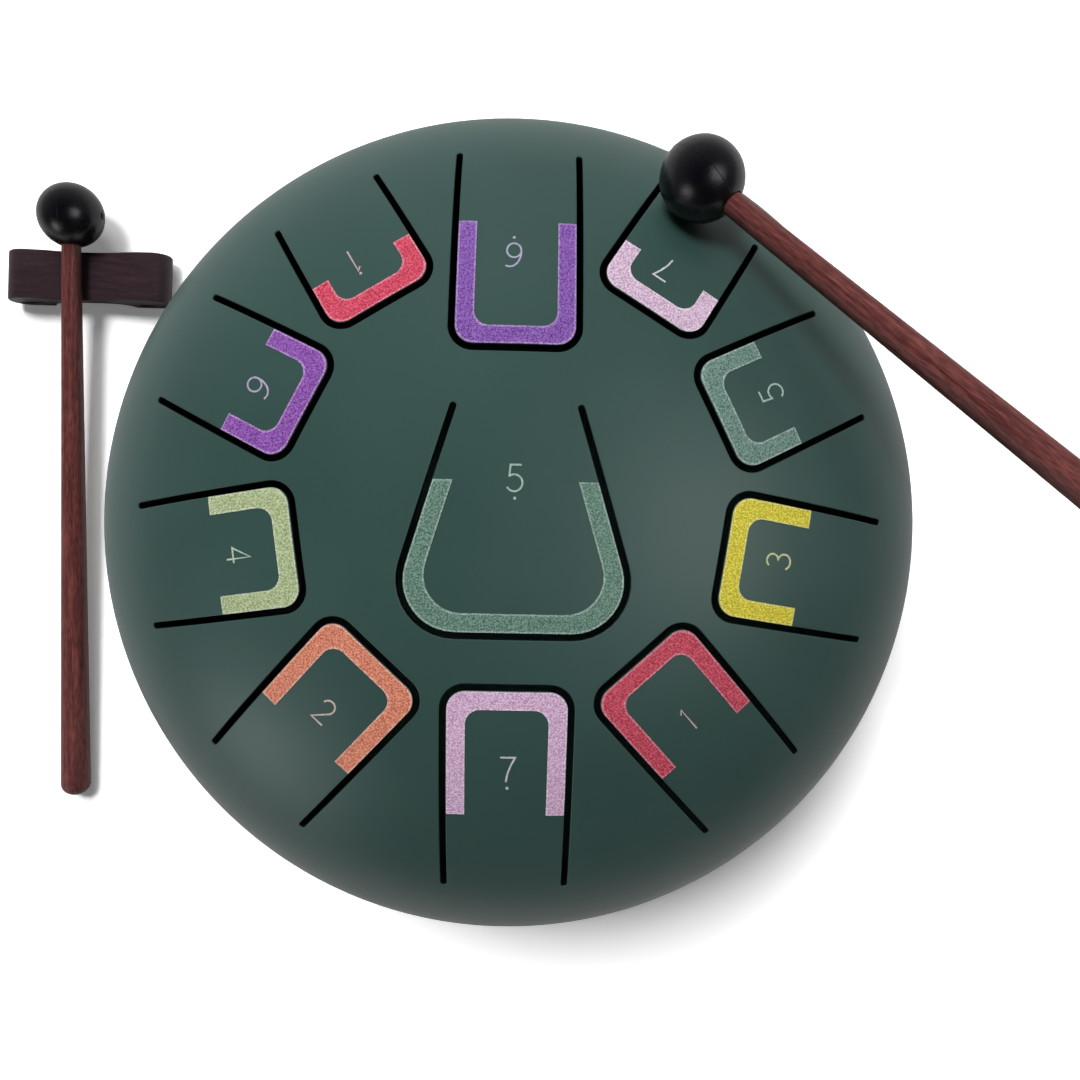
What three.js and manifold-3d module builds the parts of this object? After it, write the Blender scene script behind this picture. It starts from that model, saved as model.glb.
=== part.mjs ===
// Steel tongue drum with two mallets and a mallet rest. Millimetres, +Z up.
// The set stands on the plane z = 0 and is centred over the origin.
import * as THREE from "three";
import { mergeVertices } from "three/addons/utils/BufferGeometryUtils.js";
import Module from "manifold-3d";

const wasm = await Module();
wasm.setup();

// Drum shells
const DRUM_RADIUS = 127;
const FOOT_HEIGHT = 8;
const BOWL_DEPTH = 63;
const BOWL_FLAT_RADIUS = 78;
const DOME_RISE = 58;
const DOME_POWER = 2.14; // 2 would be an ellipse, a larger power is flatter on top
const SHEET = 2;
const SOUND_HOLE_RADIUS = 29;

// Slots and tongues
const SLOT_WIDTH = 1.8;
const SLOT_REACH = 106.5; // plan radius of the slot tips near the rim
const SLOT_CORNER = 6;
const ROOT_GAP = 0.3; // saw-thin gap where a tongue's solid meets the shell at its root
const LONG_HALF_WIDTH = 17.2; // slot centreline to the middle of the tongue
const UPPER_HALF_WIDTH = 16.6;
const SHORT_HALF_WIDTH = 16.3;

// Plan distance from the drum's axis to the slot across the tip of each outer tongue. The
// lower the note, the longer the tongue.
const LOW_6_TIP = 45;
const LOW_7_TIP = 45.4;
const NOTE_1_TIP = 50.7;
const NOTE_2_TIP = 50.9;
const NOTE_3_TIP = 57.6;
const NOTE_4_TIP = 57.5;
const NOTE_5_TIP = 61.2;
const NOTE_6_TIP = 61.1;
const NOTE_7_TIP = 66.8;
const HIGH_1_TIP = 67;

// Each outer tongue points in from the rim. Its bearing is in degrees from +Y towards +X.
const OUTER_TONGUES = [
  { note: "low_6", bearing: 0, halfWidth: LONG_HALF_WIDTH, freeEnd: LOW_6_TIP },
  { note: "low_7", bearing: 180, halfWidth: LONG_HALF_WIDTH, freeEnd: LOW_7_TIP },
  { note: "1", bearing: 137.5, halfWidth: LONG_HALF_WIDTH, freeEnd: NOTE_1_TIP },
  { note: "2", bearing: -137.5, halfWidth: LONG_HALF_WIDTH, freeEnd: NOTE_2_TIP },
  { note: "3", bearing: 98.6, halfWidth: LONG_HALF_WIDTH, freeEnd: NOTE_3_TIP },
  { note: "4", bearing: -98.6, halfWidth: LONG_HALF_WIDTH, freeEnd: NOTE_4_TIP },
  { note: "5", bearing: 63.5, halfWidth: UPPER_HALF_WIDTH, freeEnd: NOTE_5_TIP },
  { note: "6", bearing: -63.5, halfWidth: UPPER_HALF_WIDTH, freeEnd: NOTE_6_TIP },
  { note: "7", bearing: 31.7, halfWidth: SHORT_HALF_WIDTH, freeEnd: NOTE_7_TIP },
  { note: "high_1", bearing: -31.7, halfWidth: SHORT_HALF_WIDTH, freeEnd: HIGH_1_TIP },
];

// The middle tongue hangs from the back and widens towards its tip.
const MIDDLE_NOTE = "low_5";
const MIDDLE_SHIFT = 1; // its centreline lies this far to the right of the drum's axis
const MIDDLE_ROOT = 29; // its root lies this far behind the drum's axis
const MIDDLE_FREE_END = -31.7;
const MIDDLE_ROOT_HALF_WIDTH = 17;
const MIDDLE_SPREAD = 16.75; // degrees that each side slot leans out
const MIDDLE_CORNER = 14.7;

// U-shaped stickers just inside the slots
const STICKER_BAND = 5;
const STICKER_MARGIN = 0.15;
const STICKER_REACH = 82.5; // plan radius at which the arms on the outer tongues stop
const STICKER_INNER_CORNER = 4;
const MIDDLE_STICKER_END = 9.4;
const MIDDLE_STICKER_INNER_CORNER = 10;
const STICKER_LIFT = 0.1;
const STICKER_THICKNESS = 0.3;

// Rubber feet and their fasteners
const FOOT_COUNT = 3;
const FOOT_RING_RADIUS = 60;
const FOOT_RADIUS = 9;
const FOOT_TOP_RADIUS = 8;
const SCREW_RADIUS = 2;
const SCREW_CLEARANCE = 0.3;
const SCREW_HEAD_RADIUS = 3.9;
const SCREW_HEAD_HEIGHT = 2.4;
const SCREW_HEAD_DEPTH = 2; // how far the head is sunk above the foot's underside
const SCREW_SOCKET_RADIUS = 1.5;
const SCREW_SOCKET_DEPTH = 1.4;
const SCREW_END_PAST_NUT = 1.3;
const NUT_ACROSS_CORNERS = 8.1;
const NUT_HEIGHT = 3.2;
const HEX_SIDES = 6;
const CUT_PAST = 1; // how far a cutter runs past the faces that it cuts

// Mallets
const MALLET_LENGTH = 230;
const HEAD_DIAMETER = 23.5;
const SHAFT_TIP_DIAMETER = 6.6;
const SHAFT_BUTT_DIAMETER = 10.8;
const BUTT_ROUNDING = 4.5;
const SHAFT_GRIP_DEPTH = 15; // length of shaft inside the rubber head
const HEAD_BORE_CLEARANCE = 0.3;
const NUB_RADIUS = 2.6;
const NUB_PROUD = 0.6;
const NUB_LENGTH = 2;

// Mallet rest: a thick band in a wave, with a curled foot at each end
const REST_LENGTH = 61;
const REST_DEPTH = 18.5;
const REST_HEIGHT = 12.5;
const REST_SADDLE_HEIGHT = 9.8;
const REST_BAND = 4;
const REST_END_ROUNDING = 6.5;
const REST_FOOT_LENGTH = 15;
const REST_EYE_HALF_LENGTH = 4.8;
const REST_EYE_HALF_HEIGHT = 1.5;
const REST_EYE_FROM_END = 8.2;
const REST_EYE_HEIGHT = 3.4;

// Where the loose pieces lie. They keep their distance from the drum's rim.
const REST_FROM_RIM = 36; // from the rim to the rest's middle
const REST_X = -(DRUM_RADIUS + REST_FROM_RIM);
const REST_Y = 90.8;
const LEFT_HEAD_ASIDE = 4.2; // how far the left head lies to the left of the rest's middle
const LEFT_HEAD_BEHIND = 21.3;
const LEFT_HEAD_X = REST_X - LEFT_HEAD_ASIDE;
const LEFT_HEAD_Y = REST_Y + LEFT_HEAD_BEHIND;
const LEFT_BUTT_DRIFT = 3; // how far the butt lies to the right of the head
const RIGHT_HEAD_FROM_RIM = 20; // in plan, from the rim inwards to the head's centre
const RIGHT_HEAD_BEARING = 28.1; // degrees from +Y towards +X
const RIGHT_SHAFT_HEADING = -44.4; // degrees from +X, seen from above
const RIGHT_SHAFT_RISE = 16.8; // degrees that the shaft climbs from head to butt
const SEAT_GAP = 0.3;

// How finely round shapes are cut
const SHELL_SIDES = 60;
const DOME_RINGS = 10;
const BOWL_RINGS = 5;
const CORNER_STEPS = 3;
const SMALL_SIDES = 16;
const HEAD_SIDES = 18;
const HEAD_RINGS = 8;
const BUTT_RINGS = 3;
const CURVE_STEPS = 6;
const BALL_TRIALS = 200; // places tried each side of a ball's centre to find where it touches

const QUARTER_TURN = Math.PI / 2;
const rimHeight = FOOT_HEIGHT + BOWL_DEPTH;
const domeTop = rimHeight + DOME_RISE;
const slotHalf = SLOT_WIDTH / 2;
const headRadius = HEAD_DIAMETER / 2;

const paint = new THREE.MeshStandardMaterial({ color: 0x3f584d, roughness: 0.45, metalness: 0.1 });
const rubber = new THREE.MeshStandardMaterial({ color: 0x17171a, roughness: 0.55, metalness: 0 });
const steel = new THREE.MeshStandardMaterial({ color: 0x9a9b9c, roughness: 0.35, metalness: 1 });
const redWood = new THREE.MeshStandardMaterial({ color: 0x6b3531, roughness: 0.5, metalness: 0 });
const darkWood = new THREE.MeshStandardMaterial({ color: 0x352a2d, roughness: 0.5, metalness: 0 });
const stickerColours = {
  low_5: 0x5c8872,
  low_6: 0x7540a8,
  low_7: 0xd5a9d2,
  1: 0xc23a4e,
  2: 0xd97a52,
  3: 0xe0d02c,
  4: 0xb7d48a,
  5: 0x5a8577,
  6: 0x7d45b4,
  7: 0xe3c4dc,
  high_1: 0xdd4f52,
};

// Turns a three.js geometry into a solid that can be cut and joined.
function solidOf(geometry) {
  const loose = geometry.index ? geometry.toNonIndexed() : geometry;
  const bare = new THREE.BufferGeometry();
  bare.setAttribute("position", loose.getAttribute("position"));
  const merged = mergeVertices(bare, 1e-4);
  const corners = merged.index.array;
  const triVerts = [];
  for (let i = 0; i < corners.length; i += 3) {
    const [a, b, c] = corners.slice(i, i + 3);
    if (a !== b && b !== c && c !== a) triVerts.push(a, b, c);
  }
  const vertProperties = merged.getAttribute("position").array;
  const mesh = new wasm.Mesh({
    numProp: 3,
    vertProperties: new Float32Array(vertProperties),
    triVerts: new Uint32Array(triVerts),
  });
  return new wasm.Manifold(mesh);
}

// Turns a solid back into a named three.js mesh.
function piece(name, solid, material) {
  const { vertProperties, triVerts } = solid.getMesh();
  const geometry = new THREE.BufferGeometry();
  geometry.setAttribute("position", new THREE.BufferAttribute(vertProperties, 3));
  geometry.setIndex(new THREE.BufferAttribute(triVerts, 1));
  geometry.computeVertexNormals();
  const mesh = new THREE.Mesh(geometry, material.clone());
  mesh.name = name;
  return mesh;
}

// A solid of revolution about Z, from a profile of [radius, height] pairs.
function turned(profile, sides) {
  const points = profile.map(([radius, height]) => new THREE.Vector2(radius, height));
  return solidOf(new THREE.LatheGeometry(points, sides).rotateX(QUARTER_TURN));
}

// An upright prism between two heights.
function prism(shape, low, high, turn = 0, x = 0, y = 0) {
  const geometry = new THREE.ExtrudeGeometry(shape, {
    depth: high - low,
    bevelEnabled: false,
    curveSegments: CURVE_STEPS,
  });
  return solidOf(geometry.rotateZ(turn).translate(x, y, low));
}

function cylinder(radius, low, high, sides, x = 0, y = 0) {
  const geometry = new THREE.CylinderGeometry(radius, radius, high - low, sides);
  geometry.rotateX(QUARTER_TURN).translate(x, y, (low + high) / 2);
  return solidOf(geometry);
}

// The dome's outer line is z = rim + rise * sqrt(1 - (r / R)^power), and a point on it
// is given by an angle that runs from 0 at the top to a quarter turn at the rim.
function domePoint(angle) {
  const radius = DRUM_RADIUS * Math.sin(angle) ** (2 / DOME_POWER);
  return [radius, rimHeight + DOME_RISE * Math.cos(angle)];
}

function domeHeight(radius) {
  return rimHeight + DOME_RISE * Math.sqrt(1 - (radius / DRUM_RADIUS) ** DOME_POWER);
}

// The same line moved in by the sheet's thickness, square to the surface.
function domeInnerPoint(angle) {
  const [radius, height] = domePoint(angle);
  if (angle === 0) return [0, height - SHEET];
  const step = 1e-4;
  const [r1, z1] = domePoint(angle - step);
  const [r2, z2] = angle === QUARTER_TURN ? [DRUM_RADIUS, rimHeight - step] : domePoint(angle + step);
  const length = Math.hypot(r2 - r1, z2 - z1);
  const outR = (z1 - z2) / length;
  const outZ = (r2 - r1) / length;
  if (angle === QUARTER_TURN) return [DRUM_RADIUS - SHEET, rimHeight];
  return [radius - SHEET * outR, height - SHEET * outZ];
}

const domeAngles = Array.from({ length: DOME_RINGS + 1 }, (_, k) => (QUARTER_TURN * k) / DOME_RINGS);

// The whole pressed dome before its slots are cut.
function domeSolid() {
  const inner = domeAngles.map(domeInnerPoint);
  const outer = domeAngles.map(domePoint).reverse();
  return turned([...inner, ...outer], SHELL_SIDES);
}

// A thin skin a little above the dome, from which the stickers are cut.
function stickerSkin() {
  const isCovered = (angle, k) => k === 0 || domePoint(domeAngles[k - 1])[0] < STICKER_REACH;
  const covered = domeAngles.filter(isCovered);
  const under = covered.map(domePoint).map(([radius, height]) => [radius, height + STICKER_LIFT]);
  const over = under.map(([radius, height]) => [radius, height + STICKER_THICKNESS]).reverse();
  return turned([...under, ...over], SHELL_SIDES);
}

// The pressed bowl: a flat base with a round sound hole, curving up to the seam.
function bowlSolid() {
  const quarter = Array.from({ length: BOWL_RINGS + 1 }, (_, k) => (QUARTER_TURN * k) / BOWL_RINGS);
  const curve = (inset) =>
    quarter.map((angle) => [
      BOWL_FLAT_RADIUS + (DRUM_RADIUS - inset - BOWL_FLAT_RADIUS) * Math.sin(angle),
      rimHeight - (BOWL_DEPTH - inset) * Math.cos(angle),
    ]);
  const outside = [[SOUND_HOLE_RADIUS, FOOT_HEIGHT], ...curve(0)];
  const inside = [...curve(SHEET).reverse(), [SOUND_HOLE_RADIUS, FOOT_HEIGHT + SHEET]];
  return turned([...outside, ...inside, outside[0]], SHELL_SIDES);
}

// A tongue is drawn with its length along local x, tip at low x and root at high x,
// and its slot's centreline is a U whose arms lean out by the spread angle.
function outerTongue({ note, bearing, halfWidth, freeEnd }) {
  const tip = Math.sqrt(SLOT_REACH ** 2 - halfWidth ** 2);
  const stickerMiddle = halfWidth - slotHalf - STICKER_MARGIN - STICKER_BAND / 2;
  return {
    note,
    halfWidth,
    freeEnd,
    turn: THREE.MathUtils.degToRad(90 - bearing),
    shift: 0,
    spread: 0,
    root: tip - slotHalf,
    corner: SLOT_CORNER,
    stickerEnd: Math.sqrt(STICKER_REACH ** 2 - stickerMiddle ** 2),
    stickerInnerCorner: STICKER_INNER_CORNER,
  };
}

const middleTongue = {
  note: MIDDLE_NOTE,
  halfWidth: MIDDLE_ROOT_HALF_WIDTH,
  freeEnd: MIDDLE_FREE_END,
  turn: QUARTER_TURN,
  shift: MIDDLE_SHIFT,
  spread: THREE.MathUtils.degToRad(MIDDLE_SPREAD),
  root: MIDDLE_ROOT,
  corner: MIDDLE_CORNER,
  stickerEnd: MIDDLE_STICKER_END,
  stickerInnerCorner: MIDDLE_STICKER_INNER_CORNER,
};

// Points of the U at a distance inside the slot's centreline, from one arm's end to the other's.
function uPoints(tongue, inset, corner, end) {
  const { spread, freeEnd, halfWidth, root } = tongue;
  const lean = Math.cos(spread);
  const half = (along) => halfWidth - inset / lean + (root - along) * Math.tan(spread);
  const centreX = freeEnd + inset + corner;
  const centreY = half(centreX) - corner / lean;
  const armAngle = QUARTER_TURN - spread;
  const path = new THREE.Path();
  path.moveTo(end, -half(end));
  path.lineTo(centreX + corner * Math.sin(spread), -centreY - corner * lean);
  path.absarc(centreX, -centreY, corner, -armAngle, -Math.PI, true);
  path.absarc(centreX, centreY, corner, Math.PI, armAngle, true);
  path.lineTo(end, half(end));
  return path.getPoints(CORNER_STEPS);
}

// What is cut out of the dome for one tongue: the tongue with its slot, round-ended at both tips.
function openingShape(tongue) {
  const armAngle = QUARTER_TURN - tongue.spread;
  const shape = new THREE.Shape();
  shape.absarc(tongue.root, -tongue.halfWidth, slotHalf, Math.PI - armAngle, -armAngle, true);
  uPoints(tongue, -slotHalf, tongue.corner + slotHalf, tongue.root).forEach((p) => shape.lineTo(p.x, p.y));
  shape.absarc(tongue.root, tongue.halfWidth, slotHalf, armAngle, armAngle - Math.PI, true);
  shape.closePath();
  return shape;
}

function tongueShape(tongue) {
  const rootLine = tongue.root - slotHalf * Math.sin(tongue.spread) - ROOT_GAP;
  return new THREE.Shape(uPoints(tongue, slotHalf, tongue.corner - slotHalf, rootLine));
}

function stickerShape(tongue) {
  const outside = slotHalf + STICKER_MARGIN;
  const inside = outside + STICKER_BAND;
  const outer = uPoints(tongue, outside, tongue.corner - outside, tongue.stickerEnd);
  const inner = uPoints(tongue, inside, tongue.stickerInnerCorner, tongue.stickerEnd);
  return new THREE.Shape([...outer, ...inner.reverse()]);
}

function tonguePrism(tongue, shape) {
  return prism(shape, rimHeight, domeTop + SHEET, tongue.turn, tongue.shift, 0);
}

// Foot places, evenly spaced round the base with one at the back
const footPlaces = Array.from({ length: FOOT_COUNT }, (_, k) => {
  const angle = QUARTER_TURN + (2 * Math.PI * k) / FOOT_COUNT;
  return [FOOT_RING_RADIUS * Math.cos(angle), FOOT_RING_RADIUS * Math.sin(angle)];
});
const screwHoleRadius = SCREW_RADIUS + SCREW_CLEARANCE;
const screwSeat = SCREW_HEAD_DEPTH + SCREW_HEAD_HEIGHT;
const nutTop = FOOT_HEIGHT + SHEET + NUT_HEIGHT;

function footSolid(x, y) {
  const recess = SCREW_HEAD_RADIUS + SCREW_CLEARANCE;
  const foot = turned(
    [
      [recess, 0],
      [FOOT_RADIUS, 0],
      [FOOT_TOP_RADIUS, FOOT_HEIGHT],
      [screwHoleRadius, FOOT_HEIGHT],
      [screwHoleRadius, screwSeat],
      [recess, screwSeat],
      [recess, 0],
    ],
    SMALL_SIDES,
  );
  return foot.translate([x, y, 0]);
}

function screwSolid(x, y) {
  const screw = turned(
    [
      [0, SCREW_HEAD_DEPTH],
      [SCREW_HEAD_RADIUS, SCREW_HEAD_DEPTH],
      [SCREW_HEAD_RADIUS, screwSeat],
      [SCREW_RADIUS, screwSeat],
      [SCREW_RADIUS, nutTop + SCREW_END_PAST_NUT],
      [0, nutTop + SCREW_END_PAST_NUT],
    ],
    SMALL_SIDES,
  );
  const socket = cylinder(SCREW_SOCKET_RADIUS, 0, SCREW_HEAD_DEPTH + SCREW_SOCKET_DEPTH, HEX_SIDES);
  return screw.subtract(socket).translate([x, y, 0]);
}

function nutSolid(x, y) {
  const low = FOOT_HEIGHT + SHEET;
  const body = cylinder(NUT_ACROSS_CORNERS / 2, low, nutTop, HEX_SIDES, x, y);
  const hole = cylinder(screwHoleRadius, low - CUT_PAST, nutTop + CUT_PAST, SMALL_SIDES, x, y);
  return body.subtract(hole);
}

// A mallet's own frame has the head's centre at its origin and the shaft along +Z.
const shaftEnd = MALLET_LENGTH - headRadius;

function shaftRadius(along) {
  return (SHAFT_TIP_DIAMETER + ((SHAFT_BUTT_DIAMETER - SHAFT_TIP_DIAMETER) * along) / shaftEnd) / 2;
}

function headSolid() {
  const boreRadius = shaftRadius(headRadius) + HEAD_BORE_CLEARANCE;
  const boreFloor = headRadius - SHAFT_GRIP_DEPTH - HEAD_BORE_CLEARANCE;
  const mouthAngle = Math.PI - Math.asin(boreRadius / headRadius);
  const ball = Array.from({ length: HEAD_RINGS + 1 }, (_, k) => {
    const angle = (mouthAngle * k) / HEAD_RINGS;
    return [headRadius * Math.sin(angle), -headRadius * Math.cos(angle)];
  });
  const head = turned([...ball, [boreRadius, boreFloor], [0, boreFloor]], HEAD_SIDES);
  const nub = new THREE.CylinderGeometry(NUB_RADIUS, NUB_RADIUS, NUB_LENGTH, SMALL_SIDES / 2);
  nub.rotateZ(QUARTER_TURN).translate(NUB_LENGTH / 2 - headRadius - NUB_PROUD, 0, 0);
  return head.add(solidOf(nub));
}

function shaftSolid() {
  const start = headRadius - SHAFT_GRIP_DEPTH;
  const straightEnd = shaftEnd - BUTT_ROUNDING;
  const butt = Array.from({ length: BUTT_RINGS + 1 }, (_, k) => {
    const angle = (QUARTER_TURN * k) / BUTT_RINGS;
    return [shaftRadius(straightEnd) * Math.cos(angle), straightEnd + BUTT_ROUNDING * Math.sin(angle)];
  });
  return turned([[0, start], [shaftRadius(start), start], ...butt], SMALL_SIDES);
}

// Places a mallet with its head at a point and its shaft along a direction.
function mallet(side, head, direction) {
  const across = new THREE.Vector3().crossVectors(direction, new THREE.Vector3(0, 0, 1)).normalize();
  const upward = new THREE.Vector3().crossVectors(direction, across);
  const group = new THREE.Group();
  group.quaternion.setFromRotationMatrix(new THREE.Matrix4().makeBasis(across, upward, direction));
  group.position.copy(head);
  group.add(piece(`${side}_mallet_head`, headSolid(), rubber));
  group.add(piece(`${side}_mallet_shaft`, shaftSolid(), redWood));
  return group;
}

// The left mallet leans on the front edge of the rest's saddle, with its butt on the table.
function leftMallet() {
  const restFront = REST_Y - REST_DEPTH / 2;
  const seatAt = LEFT_HEAD_Y - restFront;
  const floorAt = shaftEnd - BUTT_ROUNDING;
  const seatHeight = REST_SADDLE_HEIGHT + SEAT_GAP + shaftRadius(seatAt);
  const fall = (seatHeight - shaftRadius(floorAt)) / (floorAt - seatAt);
  const drift = LEFT_BUTT_DRIFT / shaftEnd;
  const direction = new THREE.Vector3(drift, -Math.sqrt(1 - fall ** 2 - drift ** 2), -fall);
  const head = new THREE.Vector3(LEFT_HEAD_X, LEFT_HEAD_Y, seatHeight + fall * seatAt);
  return mallet("left", head, direction);
}

// Height at which a ball just clears the dome, found by rolling along the dome's section.
function ballHeight(planRadius, ballRadius) {
  let height = 0;
  for (let k = -BALL_TRIALS; k <= BALL_TRIALS; k += 1) {
    const aside = (ballRadius * k) / BALL_TRIALS;
    const radius = Math.abs(planRadius + aside);
    if (radius >= DRUM_RADIUS) continue;
    height = Math.max(height, domeHeight(radius) + Math.sqrt(ballRadius ** 2 - aside ** 2));
  }
  return height;
}

// The right mallet is about to strike: its head is a hair above the dome and its butt is raised.
function rightMallet() {
  const planRadius = DRUM_RADIUS - RIGHT_HEAD_FROM_RIM;
  const bearing = THREE.MathUtils.degToRad(RIGHT_HEAD_BEARING);
  const height = ballHeight(planRadius, headRadius + SEAT_GAP);
  const heading = THREE.MathUtils.degToRad(RIGHT_SHAFT_HEADING);
  const rise = THREE.MathUtils.degToRad(RIGHT_SHAFT_RISE);
  const direction = new THREE.Vector3(
    Math.cos(rise) * Math.cos(heading),
    Math.cos(rise) * Math.sin(heading),
    Math.sin(rise),
  );
  const head = new THREE.Vector3(planRadius * Math.sin(bearing), planRadius * Math.cos(bearing), height);
  return mallet("right", head, direction);
}

// The rest's section is drawn in x and height, then pushed through its depth.
function restSolid() {
  const end = REST_LENGTH / 2;
  const hump = end - REST_END_ROUNDING;
  const arch = end - REST_FOOT_LENGTH;
  const halfHeight = REST_HEIGHT / 2;
  const archTop = REST_SADDLE_HEIGHT - REST_BAND;
  const shape = new THREE.Shape();
  shape.moveTo(-arch, 0);
  shape.absellipse(-hump, halfHeight, REST_END_ROUNDING, halfHeight, -QUARTER_TURN, QUARTER_TURN, true);
  shape.bezierCurveTo(-hump / 2, REST_HEIGHT, -hump / 2, REST_SADDLE_HEIGHT, 0, REST_SADDLE_HEIGHT);
  shape.bezierCurveTo(hump / 2, REST_SADDLE_HEIGHT, hump / 2, REST_HEIGHT, hump, REST_HEIGHT);
  shape.absellipse(hump, halfHeight, REST_END_ROUNDING, halfHeight, QUARTER_TURN, -QUARTER_TURN, true);
  shape.lineTo(arch, 0);
  shape.bezierCurveTo(arch - REST_BAND / 2, archTop, arch / 2, archTop, 0, archTop);
  shape.bezierCurveTo(-arch / 2, archTop, -arch + REST_BAND / 2, archTop, -arch, 0);
  for (const side of [-1, 1]) {
    const eye = new THREE.Path();
    const eyeX = side * (end - REST_EYE_FROM_END);
    eye.absellipse(eyeX, REST_EYE_HEIGHT, REST_EYE_HALF_LENGTH, REST_EYE_HALF_HEIGHT, 0, 2 * Math.PI);
    shape.holes.push(eye);
  }
  const settings = { depth: REST_DEPTH, bevelEnabled: false, curveSegments: CURVE_STEPS };
  const geometry = new THREE.ExtrudeGeometry(shape, settings);
  geometry.rotateX(QUARTER_TURN).translate(REST_X, REST_Y + REST_DEPTH / 2, 0);
  return solidOf(geometry);
}

// Assembly
const set = new THREE.Group();

const tongues = [middleTongue, ...OUTER_TONGUES.map(outerTongue)];
const dome = domeSolid();
const skin = stickerSkin();
const openings = tongues.map((tongue) => tonguePrism(tongue, openingShape(tongue)));
set.add(piece("top_shell", openings.reduce((shell, opening) => shell.subtract(opening), dome), paint));
for (const tongue of tongues) {
  const blade = dome.intersect(tonguePrism(tongue, tongueShape(tongue)));
  set.add(piece(`tongue_${tongue.note}`, blade, paint));
  const sticker = skin.intersect(tonguePrism(tongue, stickerShape(tongue)));
  const film = new THREE.MeshStandardMaterial({ color: stickerColours[tongue.note], roughness: 0.6 });
  set.add(piece(`sticker_${tongue.note}`, sticker, film));
}

const holes = footPlaces.map(([x, y]) =>
  cylinder(screwHoleRadius, 0, nutTop, SMALL_SIDES, x, y),
);
set.add(piece("bottom_shell", holes.reduce((shell, hole) => shell.subtract(hole), bowlSolid()), paint));
footPlaces.forEach(([x, y], k) => {
  set.add(piece(`foot_${k + 1}`, footSolid(x, y), rubber));
  set.add(piece(`foot_screw_${k + 1}`, screwSolid(x, y), steel));
  set.add(piece(`foot_nut_${k + 1}`, nutSolid(x, y), steel));
});

set.add(piece("mallet_rest", restSolid(), darkWood));
set.add(leftMallet());
set.add(rightMallet());

// The drum's axis is moved aside so that the set is centred over the origin.
const box = new THREE.Box3().setFromObject(set, true);
const centre = box.getCenter(new THREE.Vector3());
set.position.set(-centre.x, -centre.y, -box.min.z);

export default set;
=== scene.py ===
import math

import bpy
import numpy as np
from mathutils import Matrix, Vector
from mathutils.geometry import delaunay_2d_cdt


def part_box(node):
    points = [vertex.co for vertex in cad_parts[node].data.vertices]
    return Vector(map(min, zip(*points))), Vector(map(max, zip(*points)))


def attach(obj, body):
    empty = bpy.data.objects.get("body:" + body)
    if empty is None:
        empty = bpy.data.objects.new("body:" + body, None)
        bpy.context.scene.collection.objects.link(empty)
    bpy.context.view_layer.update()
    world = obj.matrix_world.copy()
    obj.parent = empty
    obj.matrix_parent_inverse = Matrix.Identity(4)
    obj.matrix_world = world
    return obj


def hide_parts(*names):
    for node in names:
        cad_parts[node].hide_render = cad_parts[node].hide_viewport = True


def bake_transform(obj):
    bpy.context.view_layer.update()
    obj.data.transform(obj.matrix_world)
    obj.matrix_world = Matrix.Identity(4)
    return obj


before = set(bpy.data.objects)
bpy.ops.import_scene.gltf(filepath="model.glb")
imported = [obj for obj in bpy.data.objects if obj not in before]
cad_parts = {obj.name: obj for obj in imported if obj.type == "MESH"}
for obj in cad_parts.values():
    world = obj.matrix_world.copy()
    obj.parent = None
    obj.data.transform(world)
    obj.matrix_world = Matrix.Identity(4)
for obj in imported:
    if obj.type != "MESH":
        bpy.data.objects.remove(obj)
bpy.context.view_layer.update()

# The steel dome: one pressed sheet, sprayed satin green, with eleven U-shaped slots cut
# through it. The blades that the slots leave free are the tongues, so this section also
# holds the dome's curve, which everything that lies on the dome follows.
MM = 0.001
low, high = (np.array(corner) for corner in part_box("top_shell"))
AXIS_X = (low[0] + high[0]) / 2
AXIS = np.array([AXIS_X, 0, 0])
RIM_RADIUS = (high[0] - low[0]) / 2 / MM
RIM_HEIGHT = low[2] / MM
DOME_RISE = 58.0
DOME_POWER = 2.14
SHEET = 2.0
SLOT_HALF = 0.9
SLOT_TIP_RADIUS = RIM_RADIUS - 20.5
SLOT_CORNER = 6.0
EDGE_ROUNDING = 0.3
SEAM_ROUNDING = 0.45
MESH_STEP = 2.6
EDGE_CLEARANCE = 0.45 * MESH_STEP
CURVE_SAMPLES = 4000
BORDER_CHUNK = 200
SAME_PLACE = 1e-7
TINY = 1e-9

# How finely a slot is drawn: half its bar, a bend, an arm, a round end and a rounded edge.
BAR_STEPS = 8
BEND_STEPS = 10
ARM_STEPS = 20
END_STEPS = 8
ROUND_STEPS = (0.0, 30.0, 60.0, 90.0)

# Each tongue: the note, its bearing from the back, half its width and where its tip lies.
OUTER_TONGUES = (
    ("low_6", 0.0, 17.2, 45.0),
    ("low_7", 180.0, 17.2, 45.4),
    ("1", 137.5, 17.2, 50.7),
    ("2", -137.5, 17.2, 50.9),
    ("3", 98.6, 17.2, 57.6),
    ("4", -98.6, 17.2, 57.5),
    ("5", 63.5, 16.6, 61.2),
    ("6", -63.5, 16.6, 61.1),
    ("7", 31.7, 16.3, 66.8),
    ("high_1", -31.7, 16.3, 67.0),
)
MIDDLE_TONGUE = {
    "note": "low_5", "turn": math.pi / 2, "shift": 1.0, "spread": math.radians(16.75),
    "half": 17.0, "root": 29.0, "tip": -31.7, "corner": 14.7,
}


def outer_tongue(note, bearing, half, tip):
    root = math.sqrt(SLOT_TIP_RADIUS ** 2 - half ** 2) - SLOT_HALF
    return {
        "note": note, "turn": math.radians(90 - bearing), "shift": 0.0, "spread": 0.0,
        "half": half, "root": root, "tip": tip, "corner": SLOT_CORNER,
    }


tongues = [MIDDLE_TONGUE] + [outer_tongue(*values) for values in OUTER_TONGUES]


def body_of_note(note):
    return "note_" + note if note.isdigit() else note


def dome_angle(radius):
    share = np.clip(np.asarray(radius, float) / RIM_RADIUS, 0, 1)
    return np.arcsin(np.clip(share ** (DOME_POWER / 2), 0, 1))


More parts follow.
